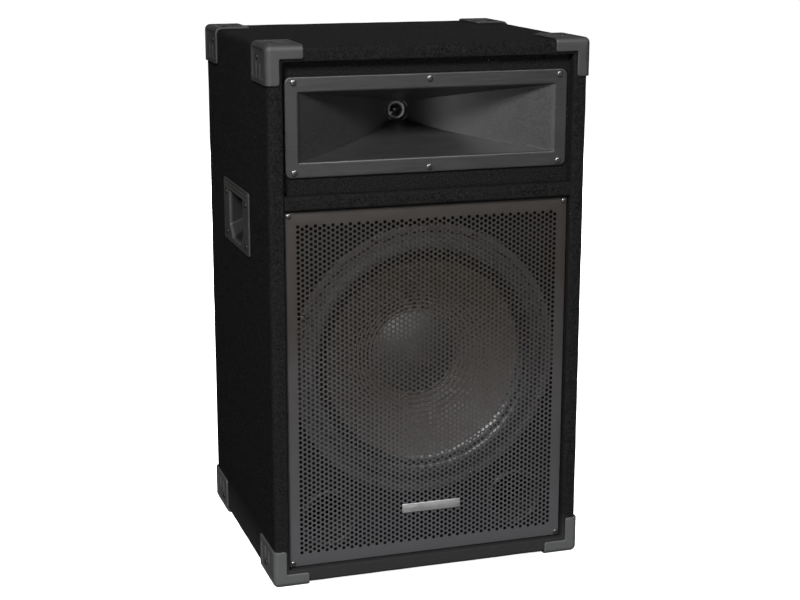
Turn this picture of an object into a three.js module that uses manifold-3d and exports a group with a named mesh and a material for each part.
// A passive two-way loudspeaker cabinet for live sound: a 15 inch woofer behind a perforated
// steel grille, a compression driver on a wide horn above it, carpeted board walls, plastic
// corner caps, a recessed handle in each side and a connector cup in the back.
// Units are millimetres. +Z is up, the front faces -Y, and the origin is on the floor under the
// middle of the cabinet, level with the underside of the lower corner caps.
import * as THREE from "three";
import { ConvexGeometry } from "three/addons/geometries/ConvexGeometry.js";
import { RoundedBoxGeometry } from "three/addons/geometries/RoundedBoxGeometry.js";
import { mergeVertices } from "three/addons/utils/BufferGeometryUtils.js";
import Module from "manifold-3d";

// ---------------------------------------------------------------- driving dimensions

const WIDTH = 450; // over the carpet
const DEPTH = 384;
const HEIGHT = 742;
const BOARD = 15;
const CARPET = 2.4;
const GAP = 0.3; // left between pieces that touch
const EDGE_RADIUS = 6; // of the carpeted edges

const CAP_WALL = 3; // how far a corner cap stands out from the carpet
const CAP = { reachX: 48, reachY: 80, reachZ: 50, lip: 16, edgeRadius: 8 };

const RAIL = { centre: 538.8, drop: 42.3 }; // the cross rail between woofer and horn
const WOOFER_BAFFLE_DEPTH = 30; // front of the lower baffle, behind the cabinet front
const HORN_FLANGE_DEPTH = 11.4;
const GRILLE_DEPTH = 8.7;

const HORN = {
  z: 638,
  flangeWidth: 400,
  flangeHeight: 133,
  flangeThickness: 4,
  flangeCorner: 9,
  mouthWidth: 362,
  mouthHeight: 92,
  mouthCorner: 5,
  length: 144.6,
  throatRadius: 12.5,
  wall: 3,
  screwX: 188,
  screwZ: 59.5,
};

const GRILLE = {
  width: 406.4,
  bottom: 24.4,
  top: 527.2,
  sheet: 1.2,
  turnedEdge: 12,
  corner: 3,
  screwInset: 5.6,
};

const WOOFER = {
  z: 304,
  frameRadius: 194.5,
  cutOut: 177,
  bolts: 8,
  boltCircle: 189.5,
  sides: 40, // facets round its large turned pieces, so that they nest
};
const FRAME = { wall: 2, throatRadius: 174.6, windowOuter: 158, windowInner: 98 };
const SPIDER = { radius: 84, landing: 74, folds: 7, foldHeight: 2.6, thickness: 1 };
const CONE = {
  edgeRadius: 150,
  capRadius: 60,
  neckRadius: 26.3,
  capDepth: 41.5, // of the cone where the dust cap meets it, behind its edge
  neckDepth: 65.5,
  thickness: 1.5,
  capHeight: 20,
};
const ROLL = { outerRadius: 175, rimRadius: 181.5, height: 9, thickness: 1.4, lip: 8 };
const VOICE_COIL = { inner: 25, former: 26, winding: 26.9, windingLength: 14 };
const MOTOR = {
  depth: 98, // of the top plate, behind the baffle
  plate: 8,
  plateRadius: 70,
  plateBore: 28.2,
  magnet: 19,
  magnetRadius: 78,
  magnetBore: 40,
  backPlate: 8,
  backPlateRadius: 74,
  poleRadius: 23.9,
  ventRadius: 9,
};
const DRIVER = {
  plate: 8,
  plateRadius: 45,
  poleRadius: 16,
  exitRadius: 9, // of the pole's bore at its rear
  magnet: 14,
  magnetBore: 24,
  topPlate: 7,
  topPlateBore: 18.4,
  outerRadius: 42,
  coverLength: 20,
};

const PORT = { x: 139, z: 83, bore: 35, tube: 37.5, flange: 41, length: 120 };
const HANDLE = { z: 491, width: 158, height: 90, corner: 6, depth: 45, wall: 2.5 };
// The hand recess, at its mouth and at its back, measured from the middle of the handle's plate.
const RECESS_MOUTH = { halfWidth: 43, low: -39, high: 30, cutY: 20, cutZ: 18 };
const RECESS_BACK = { halfWidth: 38, low: -9, high: 36, cutY: 14, cutZ: 8 };
const CUP = {
  z: 230,
  width: 126,
  height: 80,
  corner: 6.5,
  wall: 2.5,
  floor: 3,
  depth: 32, // of the underside of the floor, behind the carpet
  flangeWidth: 150,
  flangeHeight: 104,
};
const JACK = { x: -38, spacing: 38, bore: 3.2, sleeve: 4.9, nut: 7.6, barrel: 8, length: 27 };
const TERMINAL = {
  x: 26,
  spacing: 20,
  blockWidth: 42,
  blockDepth: 14,
  leverWidth: 12,
  slotWidth: 13,
  slotFloor: 2,
};
const POLE_SOCKET = { y: -25, bore: 18, tube: 21, depth: 97, flange: 96 };
const BADGE = { x: 5, z: 93, width: 86, height: 13 };

// ---------------------------------------------------------------- levels that follow from them

const FLOOR = CAP_WALL;
const TOP = FLOOR + HEIGHT;
const MIDDLE_Z = FLOOR + HEIGHT / 2;
const FRONT = -DEPTH / 2;
const BACK = DEPTH / 2;
const SKIN = CARPET + GAP; // from the outside of the carpet to the board under it
const BOARD_X = WIDTH / 2 - SKIN;
const BOARD_FRONT = FRONT + SKIN;
const BOARD_BACK = BACK - SKIN;
const BOARD_BOTTOM = FLOOR + SKIN;
const BOARD_TOP = TOP - SKIN;
const RIM = 2 * SKIN + BOARD; // width of the carpeted rim seen from the front
const OPENING_X = WIDTH / 2 - RIM;
const OPENING_BOTTOM = FLOOR + RIM;
const OPENING_TOP = TOP - RIM;
const INNER_X = BOARD_X - BOARD - GAP; // what fits between the side boards
const INNER_BOTTOM = BOARD_BOTTOM + BOARD + GAP;
const INNER_TOP = BOARD_TOP - BOARD - GAP;
const RAIL_BOTTOM = RAIL.centre - BOARD / 2;
const RAIL_TOP = RAIL.centre + BOARD / 2;
const LOWER_BAFFLE = FRONT + WOOFER_BAFFLE_DEPTH;
const HORN_FACE = FRONT + HORN_FLANGE_DEPTH;
const HORN_SEAT = HORN_FACE + HORN.flangeThickness + GAP; // carpet under the horn flange
const UPPER_BAFFLE = HORN_SEAT + SKIN;
const THROAT = HORN_FACE + HORN.length;
const GRILLE_FACE = FRONT + GRILLE_DEPTH;
const BACK_BOARD = BOARD_BACK - BOARD;
const CUP_FLOOR = BACK - CUP.depth + CUP.floor;
const FRAME_FRONT = LOWER_BAFFLE - FRAME.wall - GAP;
const CONE_EDGE = LOWER_BAFFLE - 1.5;
const PLATE_FRONT = LOWER_BAFFLE + MOTOR.depth;
const PLATE_BACK = PLATE_FRONT + MOTOR.plate;
const MAGNET_FRONT = PLATE_BACK + GAP;
const MAGNET_BACK = MAGNET_FRONT + MOTOR.magnet;
const YOKE_FRONT = MAGNET_BACK + GAP;
const COIL_BACK = PLATE_FRONT + 12;
const DRIVER_FRONT = THROAT + GAP;
const DRIVER_MAGNET = DRIVER_FRONT + DRIVER.plate + GAP;
const DRIVER_TOP_PLATE = DRIVER_MAGNET + DRIVER.magnet + GAP;
const DRIVER_REAR = DRIVER_TOP_PLATE + DRIVER.topPlate;

// ---------------------------------------------------------------- solids

const wasm = await Module();
wasm.setup();

// The enclosed volume, negative where the faces point inwards.
function signedVolume(position, index) {
  const a = new THREE.Vector3();
  const b = new THREE.Vector3();
  const c = new THREE.Vector3();
  let volume = 0;
  for (let i = 0; i < index.length; i += 3) {
    a.fromBufferAttribute(position, index[i]);
    b.fromBufferAttribute(position, index[i + 1]);
    c.fromBufferAttribute(position, index[i + 2]);
    volume += a.dot(b.cross(c)) / 6;
  }
  return volume;
}

// A closed three.js geometry as a solid that booleans can work on.
function solid(geometry) {
  const bare = new THREE.BufferGeometry();
  bare.setAttribute("position", geometry.getAttribute("position"));
  bare.setIndex(geometry.index);
  const merged = mergeVertices(bare, 1e-4);
  const position = merged.getAttribute("position");
  const triVerts = new Uint32Array(merged.index.array);
  if (signedVolume(position, triVerts) < 0) {
    triVerts.reverse();
  }
  return new wasm.Manifold(
    new wasm.Mesh({ numProp: 3, vertProperties: position.array, triVerts }),
  );
}

function geometryOf(made) {
  const mesh = made.getMesh();
  const geometry = new THREE.BufferGeometry();
  geometry.setAttribute("position", new THREE.BufferAttribute(mesh.vertProperties, 3));
  geometry.setIndex(new THREE.BufferAttribute(mesh.triVerts, 1));
  const flat = geometry.toNonIndexed();
  flat.computeVertexNormals();
  return flat;
}

// A box between two corners.
function block(x0, x1, y0, y1, z0, z1) {
  const box = new THREE.BoxGeometry(x1 - x0, y1 - y0, z1 - z0);
  box.translate((x0 + x1) / 2, (y0 + y1) / 2, (z0 + z1) / 2);
  return solid(box);
}

// A closed profile of [radius, y] points turned about an axis along Y through (x, z).
function turned(profile, x = 0, z = 0, segments = 48) {
  const points = profile.map(([radius, y]) => new THREE.Vector2(radius, y));
  const onAxis = profile[0][0] === 0;
  if (!onAxis) {
    points.push(points[0].clone());
  }
  const lathe = new THREE.LatheGeometry(points, segments);
  lathe.translate(x, 0, z);
  return solid(lathe);
}

function rod(radius, y0, y1, x, z, segments = 24) {
  const profile = [
    [0, y0],
    [radius, y0],
    [radius, y1],
    [0, y1],
  ];
  return turned(profile, x, z, segments);
}

// A closed profile of [radius, z] points turned about an upright axis through (x, y).
function turnedUpright(profile, x, y, segments = 48) {
  const points = profile.map(([radius, z]) => new THREE.Vector2(radius, z));
  const lathe = new THREE.LatheGeometry(points, segments);
  lathe.rotateX(Math.PI / 2);
  lathe.translate(x, y, 0);
  return solid(lathe);
}

// A rectangle with round corners, as an outline to extrude.
function roundedOutline(width, height, radius) {
  const x = width / 2 - radius;
  const y = height / 2 - radius;
  const outline = new THREE.Shape();
  outline.absarc(x, y, radius, 0, Math.PI / 2);
  outline.absarc(-x, y, radius, Math.PI / 2, Math.PI);
  outline.absarc(-x, -y, radius, Math.PI, 1.5 * Math.PI);
  outline.absarc(x, -y, radius, 1.5 * Math.PI, 2 * Math.PI);
  outline.closePath();
  return outline;
}

// Directions that an outline's two axes and its extrusion take.
const AXIS_X = new THREE.Vector3(1, 0, 0);
const AXIS_Y = new THREE.Vector3(0, 1, 0);
const AXIS_Z = new THREE.Vector3(0, 0, 1);
const FACING_FRONT = new THREE.Matrix4().makeBasis(AXIS_X, AXIS_Z, new THREE.Vector3(0, -1, 0));
const FACING_SIDE = new THREE.Matrix4().makeBasis(AXIS_Y, AXIS_Z, AXIS_X);
const FACING_UP = new THREE.Matrix4();

// An outline given some thickness, with its back face through the point `origin`.
function extruded(outline, thickness, facing, origin, curveSegments = 4) {
  const geometry = new THREE.ExtrudeGeometry(outline, {
    depth: thickness,
    bevelEnabled: false,
    curveSegments,
  });
  geometry.applyMatrix4(facing);
  geometry.translate(origin.x, origin.y, origin.z);
  return solid(geometry);
}

// An upright plate with round corners that reaches from y0 to y1.
function frontPlate(width, height, radius, y0, y1, x, z, curveSegments = 4) {
  const outline = roundedOutline(width, height, radius);
  return extruded(outline, y1 - y0, FACING_FRONT, new THREE.Vector3(x, y1, z), curveSegments);
}

// The smallest convex solid round a set of [x, y, z] points.
function hull(points) {
  return solid(new ConvexGeometry(points.map((point) => new THREE.Vector3(...point))));
}

// A solid skinned over a row of rings, each with as many points, closed flat at both ends.
function loft(rings) {
  const count = rings[0].length;
  const positions = rings.flat(2);
  const faces = [];
  for (let r = 0; r + 1 < rings.length; r += 1) {
    for (let i = 0; i < count; i += 1) {
      const here = r * count + i;
      const next = r * count + ((i + 1) % count);
      faces.push(here, next, here + count);
      faces.push(next, next + count, here + count);
    }
  }
  const last = (rings.length - 1) * count;
  for (let i = 1; i + 1 < count; i += 1) {
    faces.push(0, i + 1, i);
    faces.push(last, last + i, last + i + 1);
  }
  const geometry = new THREE.BufferGeometry();
  geometry.setAttribute("position", new THREE.Float32BufferAttribute(positions, 3));
  geometry.setIndex(faces);
  return solid(geometry);
}

function joined(solids) {
  return solids.reduce((all, next) => all.add(next));
}

const cabinet = new THREE.Group();
cabinet.name = "speaker_cabinet";

function addPiece(name, made, finish) {
  const mesh = new THREE.Mesh(geometryOf(made), finish.clone());
  mesh.name = name;
  cabinet.add(mesh);
  return mesh;
}

// ---------------------------------------------------------------- finishes

function finish(colour, roughness, metalness) {
  return new THREE.MeshStandardMaterial({ color: colour, roughness, metalness });
}

const FINISHES = {
  carpet: finish(0x1f1f21, 1.0, 0.0),
  board: finish(0x8a6c47, 0.85, 0.0),
  paintedBoard: finish(0x121213, 0.9, 0.0),
  capPlastic: finish(0x4c4d52, 0.6, 0.0),
  handlePlastic: finish(0x3c3c3f, 0.55, 0.0),
  hornPlastic: finish(0x47474a, 0.5, 0.0),
  portPlastic: finish(0x242426, 0.6, 0.0),
  grilleSteel: finish(0x3d3a3a, 0.45, 0.7),
  blackSteel: finish(0x1b1b1d, 0.4, 0.7),
  screwSteel: finish(0x3a3a3c, 0.3, 0.9),
  zincSteel: finish(0x9c9d9c, 0.4, 0.95),
  ferrite: finish(0x2f2f31, 0.7, 0.1),
  paperCone: finish(0x37322e, 0.9, 0.0),
  capPaper: finish(0x3a3734, 0.75, 0.0),
  foamRubber: finish(0x141414, 0.85, 0.0),
  gasketCard: finish(0x55504a, 0.9, 0.0),
  cottonSpider: finish(0xb08a4c, 0.95, 0.0),
  aluminium: finish(0xc3c4c6, 0.35, 0.9),
  badgeMetal: finish(0xb9bbbd, 0.35, 0.8),
  cupPlastic: finish(0x1a1a1b, 0.55, 0.0),
  redPlastic: finish(0xa81f1c, 0.45, 0.0),
  blackPlastic: finish(0x151516, 0.45, 0.0),
  circuitBoard: finish(0x1f5a34, 0.5, 0.0),
  wadding: finish(0xe3e1da, 1.0, 0.0),
};

// ---------------------------------------------------------------- cabinet boards

// A space beside the middle plane, between two distances from it, as the two ends of a block.
function onSide(side, near, far) {
  return side > 0 ? [near, far] : [-far, -near];
}

function handleCutOut(side) {
  const reach = onSide(side, BOARD_X - BOARD - 5, WIDTH / 2 + 5);
  const halfWidth = RECESS_MOUTH.halfWidth + HANDLE.wall + 2;
  const low = HANDLE.z + RECESS_MOUTH.low - HANDLE.wall - 1.5;
  const high = HANDLE.z + RECESS_BACK.high + HANDLE.wall + 1.5;
  return block(reach[0], reach[1], -halfWidth, halfWidth, low, high);
}

function sideBoard(side) {
  const reach = onSide(side, BOARD_X - BOARD, BOARD_X);
  const board = block(reach[0], reach[1], BOARD_FRONT, BOARD_BACK, BOARD_BOTTOM, BOARD_TOP);
  return board.subtract(handleCutOut(side));
}

// The hole for the pole socket's tube, through what lies between two levels.
function poleHole(z0, z1) {
  const radius = POLE_SOCKET.tube + 0.5;
  const profile = [
    [0, z0],
    [radius, z0],
    [radius, z1],
    [0, z1],
  ];
  return turnedUpright(profile, 0, POLE_SOCKET.y, 32);
}

function bottomBoard() {
  const board = block(
    -INNER_X,
    INNER_X,
    BOARD_FRONT,
    BOARD_BACK,
    BOARD_BOTTOM,
    BOARD_BOTTOM + BOARD,
  );
  return board.subtract(poleHole(BOARD_BOTTOM - 5, INNER_BOTTOM + 5));
}

function topBoard() {
  return block(-INNER_X, INNER_X, BOARD_FRONT, BOARD_BACK, BOARD_TOP - BOARD, BOARD_TOP);
}

function cupCutOut() {
  const spare = 2 * CUP.wall + 6;
  const width = CUP.width + spare;
  const height = CUP.height + spare;
  return frontPlate(width, height, 10, BACK_BOARD - 5, BACK + 5, 0, CUP.z);
}

function backBoard() {
  const board = block(-INNER_X, INNER_X, BACK_BOARD, BOARD_BACK, INNER_BOTTOM, INNER_TOP);
  return board.subtract(cupCutOut());
}

// The opening round the horn, through what lies between two planes.
function hornCutOut(y0, y1) {
  const spare = 2 * HORN.wall + 6;
  const width = HORN.mouthWidth + spare;
  const height = HORN.mouthHeight + spare;
  return frontPlate(width, height, 8, y0, y1, 0, HORN.z);
}

// The places of the six horn screws.
function hornScrewPlaces() {
  const places = [];
  for (const z of [HORN.z + HORN.screwZ, HORN.z - HORN.screwZ]) {
    for (const x of [-HORN.screwX, 0, HORN.screwX]) {
      places.push([x, z]);
    }
  }
  return places;
}

// The places of the four grille screws.
function grilleScrewPlaces() {
  const x = GRILLE.width / 2 - GRILLE.screwInset;
  const low = GRILLE.bottom + GRILLE.screwInset;
  const high = GRILLE.top - GRILLE.screwInset;
  return [
    [-x, high],
    [x, high],
    [-x, low],
    [x, low],
  ];
}

// A solid with a round hole at each place, from the plane y0 to the plane y1.
function drilled(made, places, radius, y0, y1, segments = 8) {
  return places.reduce((left, [x, z]) => left.subtract(rod(radius, y0, y1, x, z, segments)), made);
}

function upperBaffle() {
  const back = UPPER_BAFFLE + BOARD;
  const x = OPENING_X - GAP;
  const board = block(-x, x, UPPER_BAFFLE, back, RAIL_TOP + GAP, OPENING_TOP - GAP);
  const open = board.subtract(hornCutOut(UPPER_BAFFLE - 5, back + 5));
  return drilled(open, hornScrewPlaces(), 2.1, UPPER_BAFFLE - 5, back + 5);
}

function lowerBaffle() {
  const back = LOWER_BAFFLE + BOARD;
  const board = block(-INNER_X, INNER_X, LOWER_BAFFLE, back, INNER_BOTTOM, RAIL_BOTTOM - GAP);
  let open = board.subtract(rod(WOOFER.cutOut, LOWER_BAFFLE - 5, back + 5, 0, WOOFER.z, 48));
  for (const side of [-1, 1]) {
    const hole = rod(PORT.tube + 0.5, LOWER_BAFFLE - 5, back + 5, side * PORT.x, PORT.z, 32);
    open = open.subtract(hole);
  }
  return drilled(open, grilleScrewPlaces(), 2.1, LOWER_BAFFLE - 5, back + 5);
}

function crossRail() {
  const x = OPENING_X - GAP;
  return block(-x, x, BOARD_FRONT, BOARD_FRONT + RAIL.drop, RAIL_BOTTOM, RAIL_TOP);
}

// ---------------------------------------------------------------- carpet covering

// The long strip: over both sides, the top and the bottom, folded over the front and back edges
// of the boards, and turned back inside the front opening as far as the lower baffle.
function carpetWrap() {
  const outside = new RoundedBoxGeometry(WIDTH, DEPTH, HEIGHT, 2, EDGE_RADIUS);
  outside.translate(0, 0, MIDDLE_Z);
  const x = BOARD_X + GAP;
  const hollow = block(
    -x,
    x,
    BOARD_FRONT - GAP,
    BOARD_BACK + GAP,
    BOARD_BOTTOM - GAP,
    BOARD_TOP + GAP,
  );
  const through = block(
    -OPENING_X,
    OPENING_X,
    FRONT - 5,
    BACK + 5,
    OPENING_BOTTOM,
    OPENING_TOP,
  );
  const turnBack = block(
    -INNER_X,
    INNER_X,
    FRONT + 1,
    LOWER_BAFFLE - GAP,
    INNER_BOTTOM,
    INNER_TOP,
  );
  return solid(outside)
    .subtract(hollow)
    .add(turnBack)
    .subtract(through)
    .subtract(handleCutOut(-1))
    .subtract(handleCutOut(1))
    .subtract(poleHole(FLOOR - 5, BOARD_BOTTOM + 5));
}

function carpetBack() {
  const x = OPENING_X - GAP;
  const sheet = block(-x, x, BACK - CARPET, BACK, OPENING_BOTTOM + GAP, OPENING_TOP - GAP);
  return sheet.subtract(cupCutOut());
}

// One strip over the upper baffle and round the cross rail, seen as a profile from the side.
function carpetFrontStrip() {
  const low = RAIL_BOTTOM - SKIN;
  const high = RAIL_TOP + SKIN;
  const roundness = 4;
  const outline = new THREE.Shape();
  outline.moveTo(LOWER_BAFFLE - GAP, low);
  outline.lineTo(FRONT + roundness, low);
  outline.absarc(FRONT + roundness, low + roundness, roundness, 1.5 * Math.PI, Math.PI, true);
  outline.absarc(FRONT + roundness, high - roundness, roundness, Math.PI, Math.PI / 2, true);
  outline.lineTo(HORN_SEAT, high);
  outline.lineTo(HORN_SEAT, OPENING_TOP - GAP);
  outline.lineTo(HORN_SEAT + CARPET, OPENING_TOP - GAP);
  outline.lineTo(HORN_SEAT + CARPET, RAIL_TOP + GAP);
  outline.lineTo(FRONT + CARPET, RAIL_TOP + GAP);
  outline.lineTo(FRONT + CARPET, RAIL_BOTTOM - GAP);
  outline.lineTo(LOWER_BAFFLE - GAP, RAIL_BOTTOM - GAP);
  outline.closePath();
  const x = OPENING_X - GAP;
  const strip = extruded(outline, 2 * x, FACING_SIDE, new THREE.Vector3(-x, 0, 0));
  const open = strip.subtract(hornCutOut(HORN_SEAT - 5, HORN_SEAT + 8));
  return drilled(open, hornScrewPlaces(), 2.1, HORN_SEAT - 5, HORN_SEAT + 8);
}

// ---------------------------------------------------------------- corner caps

// The cap for the front upper right corner, about the middle of the cabinet: a plate on the side,
// a plate on the top and an L-shaped lip round the front.
function frontUpperRightCap() {
  const halfWidth = WIDTH / 2;
  const halfDepth = DEPTH / 2;
  const halfHeight = HEIGHT / 2;
  const outside = new RoundedBoxGeometry(
    WIDTH + 2 * CAP_WALL,
    DEPTH + 2 * CAP_WALL,
    HEIGHT + 2 * CAP_WALL,
    3,
    CAP.edgeRadius,
  );
  const inside = new RoundedBoxGeometry(
    WIDTH + 2 * GAP,
    DEPTH + 2 * GAP,
    HEIGHT + 2 * GAP,
    2,
    EDGE_RADIUS - GAP,
  );
  const corner = block(
    halfWidth - CAP.reachX,
    halfWidth + 10,
    -halfDepth - 10,
    -halfDepth + CAP.reachY,
    halfHeight - CAP.reachZ,
    halfHeight + 10,
  );
  const insideTheLip = block(
    halfWidth - CAP.reachX - 5,
    halfWidth - CAP.lip,
    -halfDepth - 10,
    -halfDepth + 1,
    halfHeight - CAP.reachZ - 5,
    halfHeight - CAP.lip,
  );
  return solid(outside).intersect(corner).subtract(solid(inside)).subtract(insideTheLip);
}

function addCornerCaps() {
  const made = frontUpperRightCap();
  const sides = { left: -1, right: 1 };
  const ends = { front: 1, back: -1 };
  const levels = { upper: 1, lower: -1 };
  for (const [end, scaleY] of Object.entries(ends)) {
    for (const [level, scaleZ] of Object.entries(levels)) {
      for (const [side, scaleX] of Object.entries(sides)) {
        const cap = addPiece(`cap_${end}_${level}_${side}`, made, FINISHES.capPlastic);
        cap.scale.set(scaleX, scaleY, scaleZ);
        cap.position.z = MIDDLE_Z;
      }
    }
  }
}

// ---------------------------------------------------------------- handles

// The corners of the hand recess as [y, z], at its mouth or its back, or with a wall of its
// outside. The lower corners are cut off.
function recessOutline({ halfWidth, low, high, cutY, cutZ }, wall) {
  const side = halfWidth + wall;
  const bottom = low - wall;
  return [
    [side, high + wall],
    [-side, high + wall],
    [-side, bottom + cutZ],
    [-side + cutY, bottom],
    [side - cutY, bottom],
    [side, bottom + cutZ],
  ];
}

// The recess narrows inwards and its floor climbs, so that fingers hook up behind its top edge.
function recess(side, wall) {
  const face = WIDTH / 2 + CAP_WALL;
  const outer = wall === 0 ? face + 1 : face;
  const inner = face - HANDLE.depth - wall;
  return hull([
    ...recessOutline(RECESS_MOUTH, wall).map(([y, z]) => [side * outer, y, HANDLE.z + z]),
    ...recessOutline(RECESS_BACK, wall).map(([y, z]) => [side * inner, y, HANDLE.z + z]),
  ]);
}

function handle(side) {
  const thickness = CAP_WALL - GAP;
  const start = side > 0 ? WIDTH / 2 + GAP : -WIDTH / 2 - GAP - thickness;
  const outline = roundedOutline(HANDLE.width, HANDLE.height, HANDLE.corner);
  const plate = extruded(outline, thickness, FACING_SIDE, new THREE.Vector3(start, 0, HANDLE.z));
  return plate.add(recess(side, HANDLE.wall)).subtract(recess(side, 0));
}

// ---------------------------------------------------------------- horn and its driver

// A rectangle with round corners in the plane y, as a ring of points to loft through.
function hornRing(halfWidth, halfHeight, radius, y) {
  const ring = [];
  const steps = 4;
  const corners = [
    [1, 1],
    [-1, 1],
    [-1, -1],
    [1, -1],
  ];
  corners.forEach(([sideX, sideZ], quarter) => {
    for (let i = 0; i <= steps; i += 1) {
      const angle = (quarter + i / steps) * (Math.PI / 2);
      const x = sideX * (halfWidth - radius) + radius * Math.cos(angle);
      const z = sideZ * (halfHeight - radius) + radius * Math.sin(angle);
      ring.push([x, y, HORN.z + z]);
    }
  });
  return ring;
}

// The inside of the flare, or with a wall its outside, from the round throat to the wide mouth.
function flare(wall, past) {
  const steps = 6;
  const rings = [];
  const throat = HORN.throatRadius;
  for (let i = 0; i <= steps; i += 1) {
    const t = i / steps;
    const halfWidth = throat + (HORN.mouthWidth / 2 - throat) * t ** 1.45;
    const halfHeight = throat + (HORN.mouthHeight / 2 - throat) * t ** 1.1;
    const radius = THREE.MathUtils.lerp(throat - 0.1, HORN.mouthCorner, Math.sqrt(t));
    const y = THROAT - HORN.length * t;
    rings.push(hornRing(halfWidth + wall, halfHeight + wall, radius + wall, y));
  }
  const mouth = rings[steps].map(([x, , z]) => [x, HORN_FACE - past, z]);
  const exit = rings[0].map(([x, , z]) => [x, THROAT + past, z]);
  return past > 0 ? loft([exit, ...rings, mouth]) : loft(rings);
}

function hornBody() {
  const flange = frontPlate(
    HORN.flangeWidth,
    HORN.flangeHeight,
    HORN.flangeCorner,
    HORN_FACE,
    HORN_FACE + HORN.flangeThickness,
    0,
    HORN.z,
  );
  const driverSeat = rod(DRIVER.plateRadius - 7, THROAT - 6, THROAT, 0, HORN.z, 32);
  const body = joined([flange, flare(HORN.wall, 0), driverSeat]).subtract(flare(0, 1));
  return drilled(body, hornScrewPlaces(), 2.4, HORN_FACE - 5, HORN_FACE + 10);
}

// The front plate with its hollow pole, which leads the sound forward into the horn.
function driverPole() {
  const profile = [
    [HORN.throatRadius, DRIVER_FRONT],
    [DRIVER.plateRadius, DRIVER_FRONT],
    [DRIVER.plateRadius, DRIVER_FRONT + DRIVER.plate],
    [DRIVER.poleRadius, DRIVER_FRONT + DRIVER.plate],
    [DRIVER.poleRadius, DRIVER_REAR],
    [DRIVER.exitRadius, DRIVER_REAR],
  ];
  return turned(profile, 0, HORN.z, 24);
}

function ringBetween(inner, outer, y0, y1, z, segments) {
  const profile = [
    [inner, y0],
    [outer, y0],
    [outer, y1],
    [inner, y1],
  ];
  return turned(profile, 0, z, segments);
}

function driverMagnet() {
  const back = DRIVER_MAGNET + DRIVER.magnet;
  return ringBetween(DRIVER.magnetBore, DRIVER.plateRadius, DRIVER_MAGNET, back, HORN.z, 24);
}

function driverTopPlate() {
  const bore = DRIVER.topPlateBore;
  return ringBetween(bore, DRIVER.outerRadius, DRIVER_TOP_PLATE, DRIVER_REAR, HORN.z, 24);
}

// A pointed plug in the pole's bore, held by three fins.
function phasePlug() {
  const radius = 6;
  const finReach = DRIVER.exitRadius - 0.4;
  const plug = turned(
    [
      [0, DRIVER_REAR - 22],
      [radius, DRIVER_REAR - 6],
      [radius, DRIVER_REAR - 1],
      [0, DRIVER_REAR - 1],
    ],
    0,
    HORN.z,
    24,
  );
  const fins = [0, 1, 2].map((third) => {
    const fin = new THREE.BoxGeometry(finReach, 8, 1);
    fin.translate(finReach / 2, DRIVER_REAR - 5.5, 0);
    fin.rotateY((third * 2 * Math.PI) / 3);
    fin.translate(0, 0, HORN.z);
    return solid(fin);
  });
  return joined([plug, ...fins]);
}

// A thin dome with a flat rim, and its coil sleeve in the gap round the pole.
function driverDiaphragm() {
  const rim = DRIVER_REAR + 2.5;
  const rimRadius = 24;
  const sleeveRadius = 17.6;
  const thickness = 0.8;
  const domeHeight = 7;
  const halfAngle = 1.15;
  const steps = 4;
  const outside = [];
  const inside = [];
  for (let i = 0; i <= steps; i += 1) {
    const angle = (i / steps) * halfAngle;
    const reach = Math.sin(angle) / Math.sin(halfAngle);
    const rise = (Math.cos(angle) - Math.cos(halfAngle)) / (1 - Math.cos(halfAngle));
    outside.push([sleeveRadius * reach, rim + thickness + domeHeight * rise]);
    inside.push([(sleeveRadius - thickness) * reach, rim + domeHeight * rise]);
  }
  const profile = [
    ...outside,
    [rimRadius, rim + thickness],
    [rimRadius, rim],
    [sleeveRadius, rim],
    [sleeveRadius, DRIVER_REAR - 6],
    [sleeveRadius - thickness, DRIVER_REAR - 6],
    ...inside.reverse(),
  ];
  return turned(profile, 0, HORN.z, 24);
}

// A shallow closed cup over the back of the diaphragm.
function driverCover() {
  const front = DRIVER_REAR + GAP;
  const back = front + DRIVER.coverLength;
  const radius = DRIVER.outerRadius;
  const bevel = 4;
  const profile = [
    [0, back],
    [radius - bevel, back],
    [radius, back - bevel],
    [radius, front],
    [radius - bevel, front],
    [radius - bevel, back - bevel - 1],
    [radius - bevel - 2, back - 3],
    [0, back - 3],
  ];
  return turned(profile, 0, HORN.z, 24);
}

// ---------------------------------------------------------------- screws

// A pan head screw with a cross recess, its head standing out forwards from the plane y.
function panHeadScrew(x, y, z, headRadius, shankEnd) {
  const profile = [
    [0, y - 2.7],
    [headRadius * 0.6, y - 2.4],
    [headRadius * 0.92, y - 1.4],
    [headRadius, y],
    [1.75, y],
    [1.75, shankEnd - 3],
    [0, shankEnd],
  ];
  const bar = block(-0.45, 0.45, y - 4, y - 1.2, -2.3, 2.3);
  const across = block(-2.3, 2.3, y - 4, y - 1.2, -0.45, 0.45);
  const recessed = bar.add(across).translate([x, 0, z]);
  return turned(profile, x, z, 10).subtract(recessed);
}

function addScrews() {
  const hornNames = ["upper_left", "upper_middle", "upper_right"];
  hornNames.push("lower_left", "lower_middle", "lower_right");
  hornScrewPlaces().forEach(([x, z], i) => {
    const screw = panHeadScrew(x, HORN_FACE - GAP, z, 4.4, UPPER_BAFFLE + BOARD - 1);
    addPiece(`horn_screw_${hornNames[i]}`, screw, FINISHES.screwSteel);
  });
  const grilleNames = ["upper_left", "upper_right", "lower_left", "lower_right"];
  grilleScrewPlaces().forEach(([x, z], i) => {
    const screw = panHeadScrew(x, GRILLE_FACE - GAP, z, 4, LOWER_BAFFLE + BOARD - 1);
    addPiece(`grille_screw_${grilleNames[i]}`, screw, FINISHES.screwSteel);
  });
}

// ---------------------------------------------------------------- grille and badge

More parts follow.
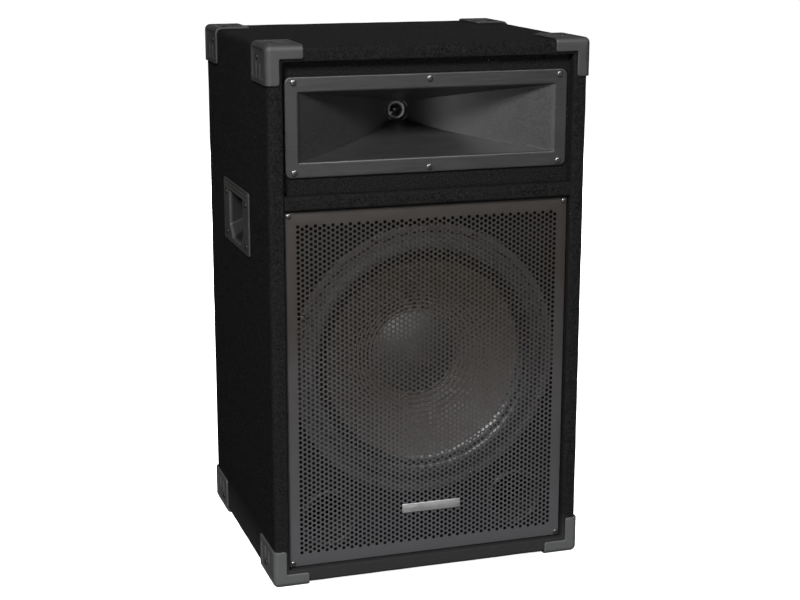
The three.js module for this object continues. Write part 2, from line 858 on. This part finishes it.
// The sheet with its four edges turned back.
function grille() {
  const height = GRILLE.top - GRILLE.bottom;
  const z = (GRILLE.top + GRILLE.bottom) / 2;
  const back = GRILLE_FACE + GRILLE.turnedEdge;
  const tray = frontPlate(GRILLE.width, height, GRILLE.corner, GRILLE_FACE, back, 0, z, 3);
  const inset = 2 * GRILLE.sheet;
  const hollow = frontPlate(
    GRILLE.width - inset,
    height - inset,
    GRILLE.corner - GRILLE.sheet,
    GRILLE_FACE + GRILLE.sheet,
    back + 5,
    0,
    z,
    3,
  );
  const open = tray.subtract(hollow);
  return drilled(open, grilleScrewPlaces(), 2.1, GRILLE_FACE - 5, GRILLE_FACE + 5);
}

function badgePlate() {
  const back = GRILLE_FACE - GAP;
  return frontPlate(BADGE.width, BADGE.height, 3, back - 1.2, back, BADGE.x, BADGE.z, 2);
}

// ---------------------------------------------------------------- woofer

// Pressed steel frame: a flat flange, a deep cone with eight windows, a ledge for the spider and a
// flat floor on the magnet's top plate.
function wooferFrame() {
  const wall = FRAME.wall;
  const ledge = LOWER_BAFFLE + SPIDER.landing;
  const floorBack = PLATE_FRONT - GAP;
  const profile = [
    [WOOFER.frameRadius, FRAME_FRONT],
    [WOOFER.frameRadius, FRAME_FRONT + wall],
    [FRAME.throatRadius, FRAME_FRONT + wall],
    [FRAME.throatRadius - 4.3, LOWER_BAFFLE + 14],
    [SPIDER.radius + 3, ledge + wall],
    [MOTOR.plateRadius + 3.7, ledge + wall],
    [MOTOR.plateRadius - 0.3, floorBack],
    [MOTOR.plateRadius / 2, floorBack],
    [MOTOR.plateRadius / 2, floorBack - wall],
    [MOTOR.plateRadius - 2, floorBack - wall],
    [MOTOR.plateRadius + 1.7, ledge],
    [SPIDER.radius + 2, ledge],
    [FRAME.throatRadius - 6.6, LOWER_BAFFLE + 13],
    [FRAME.throatRadius - 2.1, FRAME_FRONT],
  ];
  const shell = turned(profile, 0, WOOFER.z, WOOFER.sides);
  const windows = Array.from({ length: WOOFER.bolts }, (unused, i) => {
    const middle = (i * 2 * Math.PI) / WOOFER.bolts;
    const half = (0.34 * 2 * Math.PI) / WOOFER.bolts;
    const outline = new THREE.Shape();
    outline.absarc(0, 0, FRAME.windowOuter, middle - half, middle + half);
    outline.absarc(0, 0, FRAME.windowInner, middle + half, middle - half, true);
    outline.closePath();
    const back = new THREE.Vector3(0, ledge + 18, WOOFER.z);
    return extruded(outline, MOTOR.depth - 8, FACING_FRONT, back, 2);
  });
  return windows.reduce((left, window) => left.subtract(window), shell);
}

// The places of the woofer's bolts round its flange, half a step off the vertical.
function boltPlaces() {
  return Array.from({ length: WOOFER.bolts }, (unused, i) => {
    const angle = ((i + 0.5) * 2 * Math.PI) / WOOFER.bolts;
    const x = WOOFER.boltCircle * Math.cos(angle);
    return [x, WOOFER.z + WOOFER.boltCircle * Math.sin(angle)];
  });
}

// A ring of pressed card on the flange, notched for each bolt head.
function wooferGasket() {
  const back = FRAME_FRONT - GAP;
  const inner = ROLL.rimRadius + 1.1;
  const outer = WOOFER.frameRadius - GAP;
  const ring = ringBetween(inner, outer, back - 4, back, WOOFER.z, WOOFER.sides);
  return drilled(ring, boltPlaces(), 5.4, back - 6, back + 2);
}

// Where the front of the cone lies at a radius.
function coneFront(radius) {
  const cap = CONE_EDGE + CONE.capDepth;
  const neck = CONE_EDGE + CONE.neckDepth;
  if (radius > CONE.capRadius) {
    const t = (CONE.edgeRadius - radius) / (CONE.edgeRadius - CONE.capRadius);
    return THREE.MathUtils.lerp(CONE_EDGE, cap, t);
  }
  const t = (CONE.capRadius - radius) / (CONE.capRadius - CONE.neckRadius);
  return THREE.MathUtils.lerp(cap, neck, t);
}

function wooferCone() {
  const radii = [CONE.neckRadius, CONE.capRadius, CONE.edgeRadius];
  const front = radii.map((radius) => [radius, coneFront(radius)]);
  const back = radii.map((radius) => [radius, coneFront(radius) + CONE.thickness]);
  return turned([...front, ...back.reverse()], 0, WOOFER.z, WOOFER.sides);
}

function dustCap() {
  const rim = coneFront(CONE.capRadius) - 2 * GAP;
  const thickness = 1.2;
  const steps = 4;
  const outside = [];
  const inside = [];
  for (let i = 0; i <= steps; i += 1) {
    const angle = ((i / steps) * Math.PI) / 2;
    const across = Math.sin(angle);
    const forward = Math.cos(angle);
    outside.push([CONE.capRadius * across, rim - CONE.capHeight * forward]);
    inside.push([
      (CONE.capRadius - thickness) * across,
      rim - (CONE.capHeight - thickness) * forward,
    ]);
  }
  return turned([...outside, ...inside.reverse()], 0, WOOFER.z, 28);
}

// The half roll that lets the cone move, with a flat rim under the gasket and a lip on the cone.
function surround() {
  const flat = FRAME_FRONT - GAP;
  const inner = CONE.edgeRadius + 1;
  const middle = (ROLL.outerRadius + inner) / 2;
  const half = (ROLL.outerRadius - inner) / 2;
  const steps = 4;
  const over = [];
  const under = [];
  for (let i = 0; i <= steps; i += 1) {
    const angle = (i / steps) * Math.PI;
    const across = Math.cos(angle);
    const forward = Math.sin(angle);
    over.push([middle + half * across, flat - ROLL.thickness - ROLL.height * forward]);
    under.push([middle + (half - ROLL.thickness) * across, flat - ROLL.height * forward]);
  }
  const lip = CONE.edgeRadius - ROLL.lip;
  const profile = [
    [ROLL.rimRadius, flat],
    [ROLL.rimRadius, flat - ROLL.thickness],
    ...over,
    [lip, coneFront(lip) - GAP - ROLL.thickness],
    [lip, coneFront(lip) - GAP],
    [CONE.edgeRadius + 0.4, CONE_EDGE - GAP],
    ...under.reverse(),
  ];
  return turned(profile, 0, WOOFER.z, WOOFER.sides);
}

// A folded cloth disc that centres the coil.
function spider() {
  const inner = VOICE_COIL.former + GAP;
  const foldsEnd = SPIDER.radius - 11;
  const rest = LOWER_BAFFLE + SPIDER.landing - GAP;
  const under = [];
  const over = [];
  for (let i = 0; i <= SPIDER.folds; i += 1) {
    const radius = THREE.MathUtils.lerp(inner, foldsEnd, i / SPIDER.folds);
    const fold = i % 2 === 0 ? SPIDER.foldHeight : 0;
    under.push([radius, rest - fold]);
    over.push([radius, rest - SPIDER.thickness - fold]);
  }
  under.push([SPIDER.radius, rest]);
  over.push([SPIDER.radius, rest - SPIDER.thickness]);
  return turned([...under, ...over.reverse()], 0, WOOFER.z, 24);
}

// The coil's sleeve, with the winding round its back end.
function voiceCoil() {
  const top = coneFront(CONE.neckRadius) - 3;
  const windingFront = COIL_BACK - VOICE_COIL.windingLength;
  const profile = [
    [VOICE_COIL.inner, top],
    [VOICE_COIL.former, top],
    [VOICE_COIL.former, windingFront],
    [VOICE_COIL.winding, windingFront],
    [VOICE_COIL.winding, COIL_BACK],
    [VOICE_COIL.inner, COIL_BACK],
  ];
  return turned(profile, 0, WOOFER.z, 24);
}

function motorRing(inner, outer, front, back) {
  return ringBetween(inner, outer, front, back, WOOFER.z, 28);
}

// The back plate with its pole, vented through the middle.
function yoke() {
  const back = YOKE_FRONT + MOTOR.backPlate;
  const profile = [
    [MOTOR.ventRadius, PLATE_FRONT],
    [MOTOR.poleRadius, PLATE_FRONT],
    [MOTOR.poleRadius, YOKE_FRONT],
    [MOTOR.backPlateRadius, YOKE_FRONT],
    [MOTOR.backPlateRadius, back],
    [MOTOR.ventRadius, back],
  ];
  return turned(profile, 0, WOOFER.z, 28);
}

// ---------------------------------------------------------------- reflex ports

function port(side) {
  const end = LOWER_BAFFLE + PORT.length;
  const flangeBack = LOWER_BAFFLE - GAP;
  const profile = [
    [PORT.bore, end],
    [PORT.tube, end],
    [PORT.tube, flangeBack],
    [PORT.flange, flangeBack],
    [PORT.flange - 0.8, flangeBack - 2.6],
    [PORT.bore + 2.2, flangeBack - 2.6],
    [PORT.bore + 0.6, flangeBack - 1.6],
    [PORT.bore, flangeBack + 1],
  ];
  return turned(profile, side * PORT.x, PORT.z, 28);
}

// ---------------------------------------------------------------- connector cup

const LEVER_PIVOT = { y: CUP_FLOOR + 10, z: CUP.z - 11 };

function leverCentres() {
  return [TERMINAL.x - TERMINAL.spacing / 2, TERMINAL.x + TERMINAL.spacing / 2];
}

function jackPlaces() {
  return [
    [JACK.x, CUP.z + JACK.spacing / 2],
    [JACK.x, CUP.z - JACK.spacing / 2],
  ];
}

// A raised block on the cup's floor, with a slot for each lever and a wire hole above it.
function terminalBlock() {
  const halfBlock = TERMINAL.blockWidth / 2;
  const face = CUP_FLOOR + TERMINAL.blockDepth;
  const body = block(
    TERMINAL.x - halfBlock,
    TERMINAL.x + halfBlock,
    CUP_FLOOR - 1,
    face,
    CUP.z - 20,
    CUP.z + 22,
  );
  const halfSlot = TERMINAL.slotWidth / 2;
  const slotFloor = CUP_FLOOR + TERMINAL.slotFloor;
  return leverCentres().reduce((left, x) => {
    const slot = block(
      x - halfSlot,
      x + halfSlot,
      slotFloor,
      face + 5,
      LEVER_PIVOT.z - 4,
      LEVER_PIVOT.z + 21.5,
    );
    const wireHole = rod(2, slotFloor + 1, face + 5, x, CUP.z + 16, 8);
    return left.subtract(slot).subtract(wireHole);
  }, body);
}

// The cup set into the back, its flange over the carpet.
function connectorCup() {
  const width = CUP.width + 2 * CUP.wall;
  const height = CUP.height + 2 * CUP.wall;
  const corner = CUP.corner + CUP.wall;
  const shell = frontPlate(width, height, corner, CUP_FLOOR - CUP.floor, BACK + 2, 0, CUP.z);
  const face = BACK + CAP_WALL;
  const flange = frontPlate(CUP.flangeWidth, CUP.flangeHeight, 8, BACK + GAP, face, 0, CUP.z);
  const hollow = frontPlate(CUP.width, CUP.height, CUP.corner, CUP_FLOOR, face + 5, 0, CUP.z);
  const cup = joined([shell, flange]).subtract(hollow).add(terminalBlock());
  return drilled(cup, jackPlaces(), JACK.sleeve + 0.4, CUP_FLOOR - 10, CUP_FLOOR + 5, 16);
}

// A panel jack: a nut and sleeve outside, a barrel inside, and a blind bore for the plug.
function jack(x, z) {
  const inside = CUP_FLOOR - CUP.floor - GAP;
  const outside = CUP_FLOOR + GAP;
  const mouth = outside + 3.5;
  const profile = [
    [0, inside - JACK.length],
    [JACK.barrel, inside - JACK.length],
    [JACK.barrel, inside],
    [JACK.sleeve, inside],
    [JACK.sleeve, outside],
    [JACK.nut, outside],
    [JACK.nut, outside + 2.5],
    [JACK.sleeve, mouth],
    [JACK.bore, mouth],
    [JACK.bore, inside - JACK.length + 3],
    [0, inside - JACK.length + 3],
  ];
  return turned(profile, x, z, 16);
}

// A spring-loaded lever that turns about a pin across its round lower end. Its back is upright and
// its face slopes outwards to the thumb pad at the top.
function pushLever(x) {
  const { y, z } = LEVER_PIVOT;
  const height = 19;
  const outline = new THREE.Shape();
  outline.absarc(y, z, 2.6, Math.PI, 2 * Math.PI);
  outline.lineTo(y + 7, z + height - 2);
  outline.lineTo(y + 6, z + height);
  outline.lineTo(y - 1, z + height);
  outline.closePath();
  const width = TERMINAL.leverWidth;
  const start = new THREE.Vector3(x - width / 2, 0, 0);
  return extruded(outline, width, FACING_SIDE, start, 6);
}

// ---------------------------------------------------------------- inside the cabinet

// The filter board on the cabinet floor with its coils, capacitors and resistor.
function crossoverBoard() {
  const middle = { x: -95, y: 112 };
  const halfLength = 65;
  const halfWidth = 45;
  const underside = INNER_BOTTOM + 4;
  const top = underside + 1.6;
  const parts = [
    block(
      middle.x - halfLength,
      middle.x + halfLength,
      middle.y - halfWidth,
      middle.y + halfWidth,
      underside,
      top,
    ),
  ];
  const pillar = [
    [0, INNER_BOTTOM],
    [3.5, INNER_BOTTOM],
    [3.5, top],
    [0, top],
  ];
  for (const sideX of [-1, 1]) {
    for (const sideY of [-1, 1]) {
      const x = middle.x + sideX * (halfLength - 7);
      const y = middle.y + sideY * (halfWidth - 7);
      parts.push(turnedUpright(pillar, x, y, 8));
    }
  }
  const coils = [
    { x: -32, y: -10, radius: 25, height: 24 },
    { x: 26, y: 14, radius: 18, height: 18 },
  ];
  for (const { x, y, radius, height } of coils) {
    const reel = [
      [radius * 0.4, top - 0.5],
      [radius, top - 0.5],
      [radius, top + height],
      [radius * 0.4, top + height],
      [radius * 0.4, top - 0.5],
    ];
    parts.push(turnedUpright(reel, middle.x + x, middle.y + y, 16));
  }
  const capacitor = { radius: 8, start: -40, end: -8 };
  for (const x of [14, 40]) {
    const can = rod(
      capacitor.radius,
      middle.y + capacitor.start,
      middle.y + capacitor.end,
      middle.x + x,
      top + capacitor.radius - 0.5,
      10,
    );
    parts.push(can);
  }
  const resistor = block(
    middle.x - 55,
    middle.x - 7,
    middle.y + 26,
    middle.y + 36,
    top - 0.5,
    top + 9,
  );
  return joined([...parts, resistor]);
}

// Soft wadding against the inside of the back board.
function wadding() {
  const width = 370;
  const height = 280;
  const thickness = 26;
  const back = BACK_BOARD - GAP;
  return frontPlate(width, height, 12, back - thickness, back, 0, 560, 3);
}

// A flanged tube up through the cabinet floor that drops over a stand's pole.
function poleSocket() {
  const underside = FLOOR - GAP - 2;
  const flangeTop = FLOOR - GAP;
  const outline = roundedOutline(POLE_SOCKET.flange, POLE_SOCKET.flange, 12);
  const origin = new THREE.Vector3(0, POLE_SOCKET.y, underside);
  const flange = extruded(outline, flangeTop - underside, FACING_UP, origin);
  const end = underside + POLE_SOCKET.depth;
  const tube = [
    [0, underside],
    [POLE_SOCKET.tube, underside],
    [POLE_SOCKET.tube, end + 3],
    [0, end + 3],
  ];
  const bore = [
    [0, underside - 1],
    [POLE_SOCKET.bore, underside - 1],
    [POLE_SOCKET.bore, end],
    [0, end],
  ];
  return flange
    .add(turnedUpright(tube, 0, POLE_SOCKET.y, 32))
    .subtract(turnedUpright(bore, 0, POLE_SOCKET.y, 32));
}

// ---------------------------------------------------------------- assembly

addPiece("board_left", sideBoard(-1), FINISHES.board);
addPiece("board_right", sideBoard(1), FINISHES.board);
addPiece("board_top", topBoard(), FINISHES.board);
addPiece("board_bottom", bottomBoard(), FINISHES.board);
addPiece("board_back", backBoard(), FINISHES.board);
addPiece("baffle_horn", upperBaffle(), FINISHES.board);
addPiece("baffle_woofer", lowerBaffle(), FINISHES.paintedBoard);
addPiece("cross_rail", crossRail(), FINISHES.board);

addPiece("carpet_wrap", carpetWrap(), FINISHES.carpet);
addPiece("carpet_back", carpetBack(), FINISHES.carpet);
addPiece("carpet_front_strip", carpetFrontStrip(), FINISHES.carpet);
addCornerCaps();

addPiece("handle_left", handle(-1), FINISHES.handlePlastic);
addPiece("handle_right", handle(1), FINISHES.handlePlastic);

addPiece("horn_flare", hornBody(), FINISHES.hornPlastic);
addPiece("driver_pole", driverPole(), FINISHES.zincSteel);
addPiece("driver_magnet", driverMagnet(), FINISHES.ferrite);
addPiece("driver_top_plate", driverTopPlate(), FINISHES.zincSteel);
addPiece("driver_phase_plug", phasePlug(), FINISHES.blackPlastic);
addPiece("driver_diaphragm", driverDiaphragm(), FINISHES.aluminium);
addPiece("driver_cover", driverCover(), FINISHES.blackPlastic);
addScrews();

addPiece("grille", grille(), FINISHES.grilleSteel);
addPiece("badge_plate", badgePlate(), FINISHES.badgeMetal);

addPiece("woofer_frame", wooferFrame(), FINISHES.blackSteel);
addPiece("woofer_gasket", wooferGasket(), FINISHES.gasketCard);
addPiece("woofer_surround", surround(), FINISHES.foamRubber);
addPiece("woofer_cone", wooferCone(), FINISHES.paperCone);
addPiece("woofer_dust_cap", dustCap(), FINISHES.capPaper);
addPiece("woofer_voice_coil", voiceCoil(), FINISHES.aluminium);
addPiece("woofer_spider", spider(), FINISHES.cottonSpider);
const topPlate = motorRing(MOTOR.plateBore, MOTOR.plateRadius, PLATE_FRONT, PLATE_BACK);
addPiece("woofer_top_plate", topPlate, FINISHES.zincSteel);
const magnet = motorRing(MOTOR.magnetBore, MOTOR.magnetRadius, MAGNET_FRONT, MAGNET_BACK);
addPiece("woofer_magnet", magnet, FINISHES.ferrite);
addPiece("woofer_yoke", yoke(), FINISHES.zincSteel);

addPiece("port_left", port(-1), FINISHES.portPlastic);
addPiece("port_right", port(1), FINISHES.portPlastic);

addPiece("connector_cup", connectorCup(), FINISHES.cupPlastic);
const [upperJack, lowerJack] = jackPlaces();
addPiece("jack_input", jack(...upperJack), FINISHES.zincSteel);
addPiece("jack_link", jack(...lowerJack), FINISHES.zincSteel);
const [redLever, blackLever] = leverCentres();
addPiece("push_lever_red", pushLever(redLever), FINISHES.redPlastic);
addPiece("push_lever_black", pushLever(blackLever), FINISHES.blackPlastic);

addPiece("crossover_board", crossoverBoard(), FINISHES.circuitBoard);
addPiece("wadding", wadding(), FINISHES.wadding);
addPiece("pole_socket", poleSocket(), FINISHES.cupPlastic);

export default cabinet;
